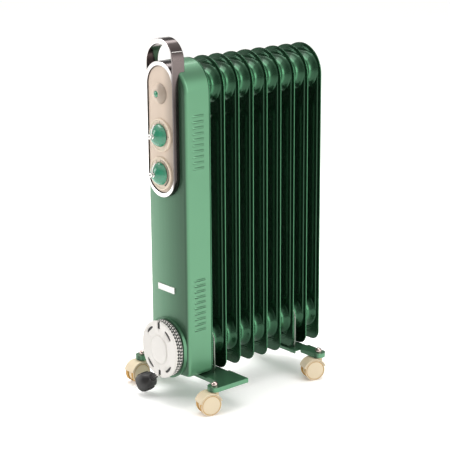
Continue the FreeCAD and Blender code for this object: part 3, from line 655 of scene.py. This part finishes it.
def braid():
    """Black and white strands plaited round the cord: they follow the UV map, u along it and v round it."""
    material = bpy.data.materials.new("cord_braid")
    material.use_nodes = True
    tree = material.node_tree
    shader = tree.nodes["Principled BSDF"]
    shader.inputs["Roughness"].default_value = 0.8
    shader.inputs["Sheen Weight"].default_value = 0.3
    place = node(tree, "ShaderNodeUVMap", uv_map="braid")
    split = node(tree, "ShaderNodeSeparateXYZ")
    link(tree, place.outputs[0], split.inputs[0])
    along, around, _ = split.outputs
    waves = []
    for operation in ("ADD", "SUBTRACT"):
        turns = math_node(tree, "MULTIPLY", math_node(tree, operation, along, around), 2 * math.pi)
        waves.append(math_node(tree, "SINE", turns))
    both = math_node(tree, "MULTIPLY", *waves)
    strands = ramp_range(tree, both, 0.08, 0.26, 0, 1)
    shades = node(tree, "ShaderNodeMix", data_type="RGBA")
    shades.inputs["A"].default_value = (0.012, 0.012, 0.012, 1)
    shades.inputs["B"].default_value = (0.74, 0.72, 0.68, 1)
    link(tree, strands, shades.inputs["Factor"])
    link(tree, shades.outputs["Result"], shader.inputs["Base Color"])
    relief = node(tree, "ShaderNodeBump", {"Strength": 0.5, "Distance": 0.0005})
    link(tree, math_node(tree, "ABSOLUTE", both), relief.inputs["Height"])
    link(tree, relief.outputs[0], shader.inputs["Normal"])
    return material


def make_cord():
    """Braided mains lead wound on the drum, with its tail hanging to the plug."""
    passed = smooth_route(route_points())
    sides = 16
    rings = tube(passed, CORD_RADIUS, sides)
    form = Build()
    form.loft(rings)
    cord = form.piece("mains_cord", braid(), slot="braid", nodes=("cord_coil", "cord_tail"), angle=60)
    travelled = [0]
    for before, after in zip(passed, passed[1:]):
        travelled.append(travelled[-1] + (after - before).length)
    layer = cord.data.uv_layers.new(name="braid")
    strand_length = 12.0
    strand_turns = 3
    for face in cord.data.polygons:
        corners = [cord.data.loops[loop].vertex_index for loop in face.loop_indices]
        wraps = {corner % sides for corner in corners} >= {0, sides - 1}
        for loop, corner in zip(face.loop_indices, corners):
            around = corner % sides
            if wraps and around == 0:
                around = sides
            layer.data[loop].uv = (travelled[corner // sides] / strand_length, around / sides * strand_turns)
    Vector(route_points()[0]) * MM


def make_plug():
    """Moulded black plug with a ribbed neck and flat grips on its sides."""
    start = Vector(TAIL[-1]) + Vector((0, FIRST_FIN, 0))
    along = (Vector(TAIL[-1]) - Vector(TAIL[-2])).normalized()
    plug_length, radius, neck = 44, 18, 5.2
    up = Vector((0, 0, 1))
    flat = (up - along * up.dot(along)).normalized()
    side = along.cross(flat)
    form = Build()
    # Distance from the cord's end, the half width and half depth there, and how square the section is.
    stations = [(-1.5, 4.6, 4.6, 2), (1, neck, neck, 2), (5, neck, neck, 2), (5.4, 6.4, 6.4, 2),
                (7.4, 6.6, 6.6, 2), (7.8, 5.6, 5.6, 2), (9.4, 5.9, 5.9, 2), (9.8, 7.6, 7.4, 2),
                (11.8, 8.2, 8, 2), (12.2, 7.2, 7, 2), (14, 8, 7.4, 2.2), (17, 11, 9.6, 2.6),
                (21, 15, 12.4, 3.2), (25, 17.2, 14.6, 3.6), (31, 17.9, 16.4, 4), (38, 17.9, 17, 4),
                (42.6, 17.6, 16.8, 4), (plug_length - 0.2, 16.6, 15.8, 4)]
    rings = []
    sides = 48
    for distance, wide, deep, square in stations:
        ring = []
        for k in range(sides):
            turn = 2 * math.pi * k / sides
            c, s = math.cos(turn), math.sin(turn)
            reach = (abs(c) ** square + abs(s) ** square) ** (-1 / square)
            reach = min(reach, radius / math.hypot(wide * c, deep * s))
            ring.append(start + along * distance + side * (wide * c * reach) + flat * (deep * s * reach))
        rings.append(ring)
    form.loft(rings)
    for step in range(4):
        middle = start + along * (28 + step * 3.6)
        for face in (-1, 1):
            centre = middle + flat * (face * (15.9 + 0.2 * step))
            form.loft([[centre + side * (9 * math.cos(2 * math.pi * k / 24)) * scale
                        + along * (0.9 * math.sin(2 * math.pi * k / 24)) * scale + flat * face * rise
                        for k in range(24)] for scale, rise in ((1, -0.6), (1, 0.5), (0.75, 1.0))])
    return form.piece("mains_plug", black_plastic(), slot="black", nodes=("plug_body",))


# ---- Fins ----

# The pressed sheet: how far its step lies inside the rim, and its heights above the fin's middle plane on the
# rim, on the pressed field and on the channels. Then the headers and the channels, and the lower corners.
PRESS_INSET = 7
FLANGE = 0.8
PRESS_DEPTH = 2.5
CHANNEL_DEPTH = 5
HEADERS = (107, 587)
HEADER_HALF, HEADER_RADIUS = 48, 35
CHANNEL_X, CHANNEL_HALF, CHANNEL_LOW, CHANNEL_HIGH = 27, 15, 143, 533
FIN_CORNER = 20


def smooth_step(value, low, high):
    """0 below low, 1 above high and an S between them."""
    share = min(max((value - low) / (high - low), 0), 1)
    return share * share * (3 - 2 * share)


def inside_oblong(x, z, centre_x, low, high, half):
    """How far a point lies inside an upright oblong, negative outside it."""
    nearest = min(max(z, low + half), high - half)
    return half - math.hypot(x - centre_x, z - nearest)


def fin_height(x, z):
    """Height of a fin's pressed sheet above the fin's middle plane."""
    press = inside_oblong(x, z, 0, FIN_LOW.z + 12, FIN_HIGH.z - PRESS_INSET, FIN_HALF - PRESS_INSET)
    height = FLANGE + (PRESS_DEPTH - FLANGE) * smooth_step(press, 0, 1.8)
    channel = inside_oblong(abs(x), z, CHANNEL_X, CHANNEL_LOW, CHANNEL_HIGH, CHANNEL_HALF)
    return height + (CHANNEL_DEPTH - PRESS_DEPTH) * smooth_step(channel, 0, 4.5)


def fin_half_width(z):
    """Half the width of the fin's outline at height z."""
    crown = FIN_HIGH.z - FIN_HALF
    if z > crown:
        return math.sqrt(max(FIN_HALF ** 2 - (z - crown) ** 2, 0))
    if z < FIN_LOW.z + FIN_CORNER:
        return FIN_HALF - FIN_CORNER + math.sqrt(max(FIN_CORNER ** 2 - (FIN_LOW.z + FIN_CORNER - z) ** 2, 0))
    return FIN_HALF


def fin_rows():
    """Heights of the rows of points: close together where the outline or the pressing turns."""
    crown = FIN_HIGH.z - FIN_HALF
    rows = [FIN_LOW.z + FIN_CORNER * (1 - math.cos(math.pi / 2 * k / 14)) for k in range(14)]
    start, end = FIN_LOW.z + FIN_CORNER, crown
    steps = 96
    rows += [start + (end - start) * k / steps for k in range(steps)]
    dense = 34
    rows += [crown + FIN_HALF * math.sin(math.pi / 2 * k / dense) for k in range(dense + 1)]
    extra = []
    for low, high in ((CHANNEL_LOW - 2, CHANNEL_LOW + 16), (CHANNEL_HIGH - 16, CHANNEL_HIGH + 2), (60, 84)):
        extra += [low + 1.5 * k for k in range(int((high - low) / 1.5))]
    return sorted(set(round(z, 3) for z in rows + extra))


def fin_columns():
    """Places across the fin, as shares of its half width."""
    places = [0, 0.06, 0.12, 0.17, 0.2, 0.215, 0.23, 0.26, 0.29, 0.32, 0.4, 0.5, 0.6, 0.66, 0.69, 0.715, 0.74,
              0.765, 0.79, 0.83, 0.838, 0.846, 0.854, 0.862, 0.87, 0.88, 0.9, 0.94, 0.975, 1]
    return [-share for share in places[:0:-1]] + places


def fin_skin(form, y, face):
    """One pressed sheet, towards the front when face is -1."""
    rows, columns = fin_rows(), fin_columns()
    points = []
    for z in rows:
        width = fin_half_width(z)
        for share in columns:
            x = width * share
            height = fin_height(x, z)
            edge = smooth_step(abs(share), 0.975, 1)
            points.append((x, y + face * (height - 0.35 * edge), z))
    across = len(columns)
    faces = []
    for row in range(len(rows) - 1):
        for column in range(across - 1):
            corner = row * across + column
            quad = (corner, corner + 1, corner + across + 1, corner + across)
            faces.append(quad if face < 0 else quad[::-1])
    form.add(points, faces)


def fin_outline(inset):
    """The fin's outline, set in by inset, seen from the front: anticlockwise from its bottom right corner."""
    count_corner, count_crown = 14, 40
    half, low, high = FIN_HALF - inset, FIN_LOW.z + inset, FIN_HIGH.z - inset
    corner = FIN_CORNER - inset
    outline = []
    for k in range(count_corner + 1):
        turn = math.pi / 2 * (1 - k / count_corner)
        outline.append((half - corner + corner * math.cos(turn), low + corner - corner * math.sin(turn)))
    for k in range(count_crown + 1):
        turn = math.pi * k / count_crown
        outline.append((half * math.cos(turn), high - half + half * math.sin(turn)))
    for k in range(count_corner + 1):
        turn = math.pi / 2 * k / count_corner
        outline.append((-half + corner - corner * math.cos(turn), low + corner - corner * math.sin(turn)))
    return outline


def fin_hem(form, y):
    """The folded edge all round the fin."""
    bead, sides = 1.05, 8
    rings = []
    for k in range(sides):
        turn = 2 * math.pi * k / sides
        ring = fin_outline(bead * 0.55 * (1 - math.cos(turn)))
        rings.append([(x, y + bead * math.sin(turn), z) for x, z in ring])
    form.loft(rings, loop=True)


def fin_header(form, y, z, face):
    """The boss of one header, from the pressed sheet to the weld half way to the next fin. Each station is
    the distance from the fin's middle plane and how much the boss is wider there than the header."""
    weld = PITCH / 2
    stations = [(1.2, 0.2), (2.6, -0.6), (4, -1.8), (5.5, -3.4), (7, -4.9), (8.8, -6.3), (10.8, -7.5),
                (13, -8.4), (15, -8.9), (16.4, -9.3), (weld, -9.8)]
    rings = []
    for depth, grow in stations:
        outline = oblong(HEADER_HALF + grow, HEADER_RADIUS + grow, 0, z, 96, lying=True)
        rings.append(at_depth(outline, y + face * depth))
    form.loft(rings, ends=(False, True))


def make_fins():
    """Every fin: its two sheets, its hem and its bosses towards its neighbours."""
    count = sum(1 for name in NODES if name.startswith("fin_"))
    for number in range(count):
        y = FIRST_FIN + PITCH * number
        form = Build()
        fin_skin(form, y, -1)
        fin_skin(form, y, 1)
        fin_hem(form, y)
        for z in HEADERS:
            if number > 0:
                fin_header(form, y, z, -1)
            if number < count - 1:
                fin_header(form, y, z, 1)
        form.piece(f"radiator_fin_{number}", fin_paint(), slot="fin_paint", nodes=(f"fin_{number}",),
                   angle=40)


# ---- Housing, frame and feet ----

VENT_TOPS = (542, 240)
VENT_PITCH, VENT_HEIGHT, VENT_LENGTH, VENT_FRONT = 10.5, 3, 25, -39.5
VENT_ROWS = 10


def make_louvres():
    """A pressed lip that leans out over each vent slot, open below, wider in the lower group."""
    form = Build()
    steps = 14
    for top, mouth in zip(VENT_TOPS, (0.7, 1.5)):
        for row in range(VENT_ROWS):
            low = top - VENT_PITCH * row - VENT_HEIGHT
            for side in (-1, 1):
                rings = []
                for k in range(steps + 1):
                    share = k / steps
                    rise = 0.25 + 1.25 * math.sin(math.pi * share) ** 0.4
                    y = FIRST_FIN + VENT_FRONT - 0.6 + (VENT_LENGTH + 1.2) * share
                    lip = [(0.02, 4.4), (0.45, 3.7), (0.8, 3), (1, mouth + 0.8), (0.98, mouth), (0.6, mouth),
                           (0.5, mouth + 0.9), (0.2, 3.2), (-0.3, 4)]
                    rings.append([(side * (FIN_HALF + out * rise), y, low + up) for out, up in lip])
                form.loft(rings)
    form.piece("vent_louvres", green_paint(), slot="green_paint", angle=50)


def make_body():
    """Housing, frame and feet keep their CAD form, with rounded edges."""
    refined("housing", "front_cover", green_paint(), bevel=0.5)
    refined("frame_with_handle", "chrome_frame", frame_chrome(), bevel=1.6, segments=4)
    refined("front_stand", "front_foot", green_paint(), bevel=1.2, segments=4)
    refined("rear_stand", "rear_foot", green_paint(), bevel=1.2, segments=4)


def make_seam():
    """The join of the handle's band: a fine bead across it on each side."""
    low, high = limits("chrome_frame")
    half, crown = high.x, high.z - high.x
    form = Build()
    for side in (-1, 1):
        turn = math.radians(27)
        outward = Vector((side * math.cos(turn), 0, math.sin(turn)))
        foot = Vector((0, 0, crown)) + outward * (half - 0.25)
        line = [foot + Vector((0, y, 0)) for y in (low.y + 1.5, low.y + 9, high.y - 9, high.y - 1.5)]
        form.loft(tube(line, 0.5, 8))
    form.piece("frame_seam", chrome(), slot="chrome")


# ---- Control panel ----

# Distances in front of the first fin: the panel's edge and the top of its swell.
PANEL_EDGE, PANEL_CROWN = 66.7, 68.3
# Heights of the dials and of the lamp.
DIAL_Z = {"selector": 504, "thermostat": 434.5}
LAMP_Z = 578.5


def make_panel():
    """Beige panel whose front swells a little towards its middle."""
    low, high = limits("fascia")
    half, tall, middle = high.x, (high.z - low.z) / 2, (high.z + low.z) / 2
    edge = PANEL_EDGE + 0.15
    stations = [(0, 50), (0, PANEL_EDGE - 1.6), (0.2, PANEL_EDGE - 0.8), (0.7, PANEL_EDGE - 0.2), (1.5, edge)]
    steps = 12
    for k in range(1, steps + 1):
        share = k / steps
        inset = 1.5 + (half - 1.8) * share
        stations.append((inset, edge + (PANEL_CROWN - edge) * math.sin(math.pi / 2 * share)))
    form = Build()
    form.loft([at_depth(oblong(half - inset, tall - inset, 0, middle, 96), FIRST_FIN - front)
               for inset, front in stations])
    form.piece("control_panel", beige(), slot="beige", nodes=("fascia",), angle=50)


def make_lamp_dome():
    """Beige dome with a polished green lens let into its tip."""
    form = Build()
    radius, root, rise, steps = 19, 66.4, 11.6, 16
    turns = [math.pi / 2 * k / steps for k in range(steps - 3)]
    swell = [(radius * math.cos(turn), root + rise * math.sin(turn)) for turn in turns]
    profile = [(0.05, 60)] + swell + [(6.2, 77), (6.1, 76), (0.05, 76)]
    centre = (0, FIRST_FIN, LAMP_Z)
    form.loft(lathe(profile, centre, (0, -1, 0), 72))
    form.piece("lamp_dome", dome_beige(), slot="beige", nodes=("indicator_dome",), angle=50)
    lens = Build()
    lens_radius, lens_root, lens_rise, lens_steps = 5.9, 76.5, 3, 10
    turns = [math.pi / 2 * k / lens_steps for k in range(lens_steps)]
    swell = [(lens_radius * math.cos(turn), lens_root + lens_rise * math.sin(turn)) for turn in turns]
    lens.loft(lathe([(5.9, 75.8)] + swell + [(0.05, 79.5)], centre, (0, -1, 0), 48))
    lens.piece("lamp_lens", lens_green(), slot="lens", nodes=("indicator_lens",), angle=50)


def arc_band(form, centre, start, end, inner, outer, front, steps=24):
    """A raised band on the dial, from start to end in degrees clockwise from the top. inner and outer are the
    radii of its sides at its two ends."""
    thick = 0.25
    rings = []
    for k in range(steps + 1):
        share = k / steps
        turn = math.radians(start + (end - start) * share)
        low = inner[0] + (inner[1] - inner[0]) * share
        high = outer[0] + (outer[1] - outer[0]) * share
        ring = []
        for radius, depth in ((low, 0), (high, 0), (high, thick), (low, thick)):
            ring.append((centre[0] + radius * math.sin(turn), centre[1] - front - depth,
                         centre[2] + radius * math.cos(turn)))
        rings.append(ring)
    form.loft(rings)


def make_dial(name, height):
    """A raised ring with a light rounded rim and a sunk track for the marks: dots, or bands and ticks."""
    centre = (0, FIRST_FIN, height)
    profile = [(19.6, 63.6), (30, 63.6), (30, 68.2)] + arc_profile(28.6, 69.6, 1.4, 0, 90) \
        + [(27.4, 71), (26.9, 70.7), (26.4, 69.9), (20.6, 69.5), (19.6, 69.5)]
    form = Build()
    form.loft(lathe(profile, centre, (0, -1, 0), 96), loop=True)
    form.piece(f"{name}_ring", beige_rim(), slot="beige", nodes=(f"{name}_dial",), angle=40)
    marks = Build()
    front = 69.55
    if name == "selector":
        for hour in range(4):
            turn = math.radians(30 * hour)
            dot = Vector((23.8 * math.sin(turn), -front, 23.8 * math.cos(turn))) + Vector(centre)
            marks.loft(lathe([(0.9, 0), (0.9, 0.25), (0.05, 0.3)], dot, (0, -1, 0), 20))
    else:
        arc_band(marks, centre, 6, 150, (24.2, 22.4), (24.9, 25.6), front)
        arc_band(marks, centre, -96, -8, (25, 25), (25.5, 25.5), front)
        for turn in range(-90, 151, 30):
            arc_band(marks, centre, turn - 0.8, turn + 0.8, (22.2, 22.2), (25.6, 25.6), front + 0.05, steps=2)
    marks.piece(f"{name}_marks", print_black(), slot="black")


# ---- Winder, badge and casters ----

def carve(piece, cutter):
    """Takes the cutter's form out of the piece, and removes the cutter."""
    modifier = piece.modifiers.new("carving", "BOOLEAN")
    modifier.object = cutter
    modifier.solver = "EXACT"
    bpy.context.view_layer.update()
    made = bpy.data.meshes.new_from_object(piece.evaluated_get(bpy.context.evaluated_depsgraph_get()))
    piece.modifiers.clear()
    piece.data = made
    mesh = cutter.data
    bpy.data.objects.remove(cutter)
    bpy.data.meshes.remove(mesh)


def make_disc():
    """White disc: rounded rim, raised oblong middle with a groove round it, four arc slots and two notches.
    A black cheek behind it shows through them."""
    half, tall = 50, 53.9
    stations = [(3, 80.3), (2.8, 77.7), (0.6, 77.7), (0, 78), (0, 80.2), (0.35, 81), (1.2, 81.5), (3.2, 81.6),
                (4, 81.3), (24, 81.3), (25, 81.2), (25.6, 80.7), (27, 80.7), (27.5, 81.6), (28, 82.3),
                (29, 82.8), (31, 83), (49.7, 83.2)]
    form = Build()
    form.loft([at_depth(oblong(half - inset, tall - inset, 0, WINDER_Z, 128), FIRST_FIN - front)
               for inset, front in stations])
    disc = form.piece("winder_face", white_plastic(), slot="white", nodes=("winder_disc",), angle=40)
    cuts = Build()
    for up in (-1, 1):
        for side in (-1, 1):
            rings = []
            for k in range(13):
                turn = math.radians(27 + 31 * k / 12)
                half_slot = 2.6 * math.sin(math.pi * min(max(k / 12, 0.04), 0.96)) ** 0.3
                inner, outer = 39.5 - half_slot, 39.5 + half_slot
                rings.append([(side * radius * math.sin(turn), FIRST_FIN - depth,
                               WINDER_Z + up * (4 + radius * math.cos(turn)))
                              for radius, depth in ((inner, 76), (outer, 76), (outer, 84), (inner, 84))])
            cuts.loft(rings)
        notch = []
        for z in (tall - 14, tall - 12.5, tall - 9, tall + 2):
            wide = 2.4 if z < tall - 13 else 3.5
            notch.append([(x, FIRST_FIN - depth, WINDER_Z + up * z)
                          for x, depth in ((-wide, 75), (wide, 75), (wide, 85), (-wide, 85))])
        cuts.loft(notch)
    mesh = bpy.data.meshes.new("cuts")
    mesh.from_pydata([Vector(point) * MM for point in cuts.points], [], cuts.faces)
    finish_mesh(mesh)
    cutter = bpy.data.objects.new("cuts", mesh)
    bpy.context.scene.collection.objects.link(cutter)
    carve(disc, cutter)
    cheek = Build()
    cheek.loft([at_depth(oblong(46.5, 50.4, 0, WINDER_Z, 96), FIRST_FIN - front) for front in (77.05, 80)])
    cheek.piece("winder_cheek", black_plastic(), slot="black")


def make_badge():
    """Blank plate with a raised frame round a sunk field."""
    low, high = limits("badge_plate")
    form = Build()
    half, tall, middle = high.x, (high.z - low.z) / 2, (high.z + low.z) / 2
    rings = []
    for inset, front in ((0, 59), (0, 62.1), (0.3, 62.5), (0.8, 62.6), (1.4, 62.6), (1.7, 62.2), (2.2, 62.1)):
        wide, up = half - inset, tall - inset
        rings.append([(x, FIRST_FIN - front, z) for x, z in ((-wide, middle - up), (wide, middle - up),
                                                             (wide, middle + up), (-wide, middle + up))])
    form.loft(rings)
    form.piece("blank_badge", brushed(), slot="badge", nodes=("badge_plate",))


# How far each caster's axle is turned from the X axis, in degrees.
CASTER_TURNS = {"fr": -15, "fl": 0, "rr": -20, "rl": 12}


WHEEL_RADIUS = 20


def make_casters():
    """Twin wheels: a tread in an ochre that shows as a ring inside each rim and paints the shade in the gap
    between the wheels and under them, with a cream cap and rim on each outer side.
    """
    for name, turn in CASTER_TURNS.items():
        low, high = limits(f"caster_{name}_wheels")
        centre = Vector(((low.x + high.x) / 2, (low.y + high.y) / 2, WHEEL_RADIUS))
        axle = Vector((math.cos(math.radians(turn)), math.sin(math.radians(turn)), 0))
        tread, caps = Build(), Build()
        for side in (-1, 1):
            out = axle * side
            round_tread = arc_profile(19.2, 6, 0.8, -90, 0) + arc_profile(19.2, 11.4, 0.8, 0, 90)
            tyre = [(2.2, 5.2), (18.6, 5.2)] + round_tread + [(2.2, 12.2)]
            tread.loft(lathe(tyre, centre, out, 72), loop=True)
            cap = [(0.05, 12), (17, 12), (17, 12.6)] + arc_profile(16.6, 12.6, 0.4, 0, 90)
            caps.loft(lathe(cap + [(8, 13), (4, 13.25), (0.05, 13.3)], centre, out, 72))
            rim = [(18.2, 11.8), (19.9, 11.8), (19.9, 12.3), (19.6, 12.8), (18.9, 13), (18.4, 12.8),
                   (18.2, 12.4)]
            caps.loft(lathe(rim, centre, out, 72), loop=True)
        tread.piece(f"tread_{name}", ochre_and_gap_shade(), body=f"wheels_{name}", slot="cream",
                    nodes=(f"caster_{name}_wheels",))
        caps.piece(f"wheel_caps_{name}", cream(), body=f"wheels_{name}", slot="cream")
        refined(f"hood_{name}", f"caster_{name}_hood", cream(), body=f"caster_{name}", bevel=0.7)


# The surface of each CAD node that stays.
PLAIN = {
    "heating_element": steel, "element_flange": zinc, "element_gasket": rubber, "heat_shield": zinc,
    "neon_lamp": lamp_glass, "selector_knob": knob_green, "thermostat_knob": knob_green,
    "selector_pointer": chrome, "thermostat_pointer": chrome, "selector_shaft": switchgear,
    "thermostat_shaft": switchgear, "selector_switch": switchgear, "thermostat_unit": zinc,
    "thermal_cutout": zinc, "tilt_switch": switchgear, "terminal_block": switchgear, "wiring": wire_skin,
    "winder_base": green_paint, "winder_drum": black_plastic, "cord_gland": rubber, "plug_pins": steel,
    "u_bolts": dark_rod, "wing_nuts": zinc, "caster_stems": zinc, "dome_nuts": pink_chrome,
}


def dress_nodes():
    """Every CAD node that stays gets its own surface."""
    for name, item in NODES.items():
        if item.hide_render:
            continue
        material = steel() if name.endswith("_axle") else PLAIN[name]()
        item.data.materials.clear()
        item.data.materials.append(material)


make_camera()
plug_piece = make_plug()
make_cord()
make_world()
make_stage()
make_fins()
make_body()
make_louvres()
make_seam()
make_panel()
make_lamp_dome()
for dial, height in DIAL_Z.items():
    make_dial(dial, height)
make_disc()
make_badge()
make_casters()
dress_nodes()
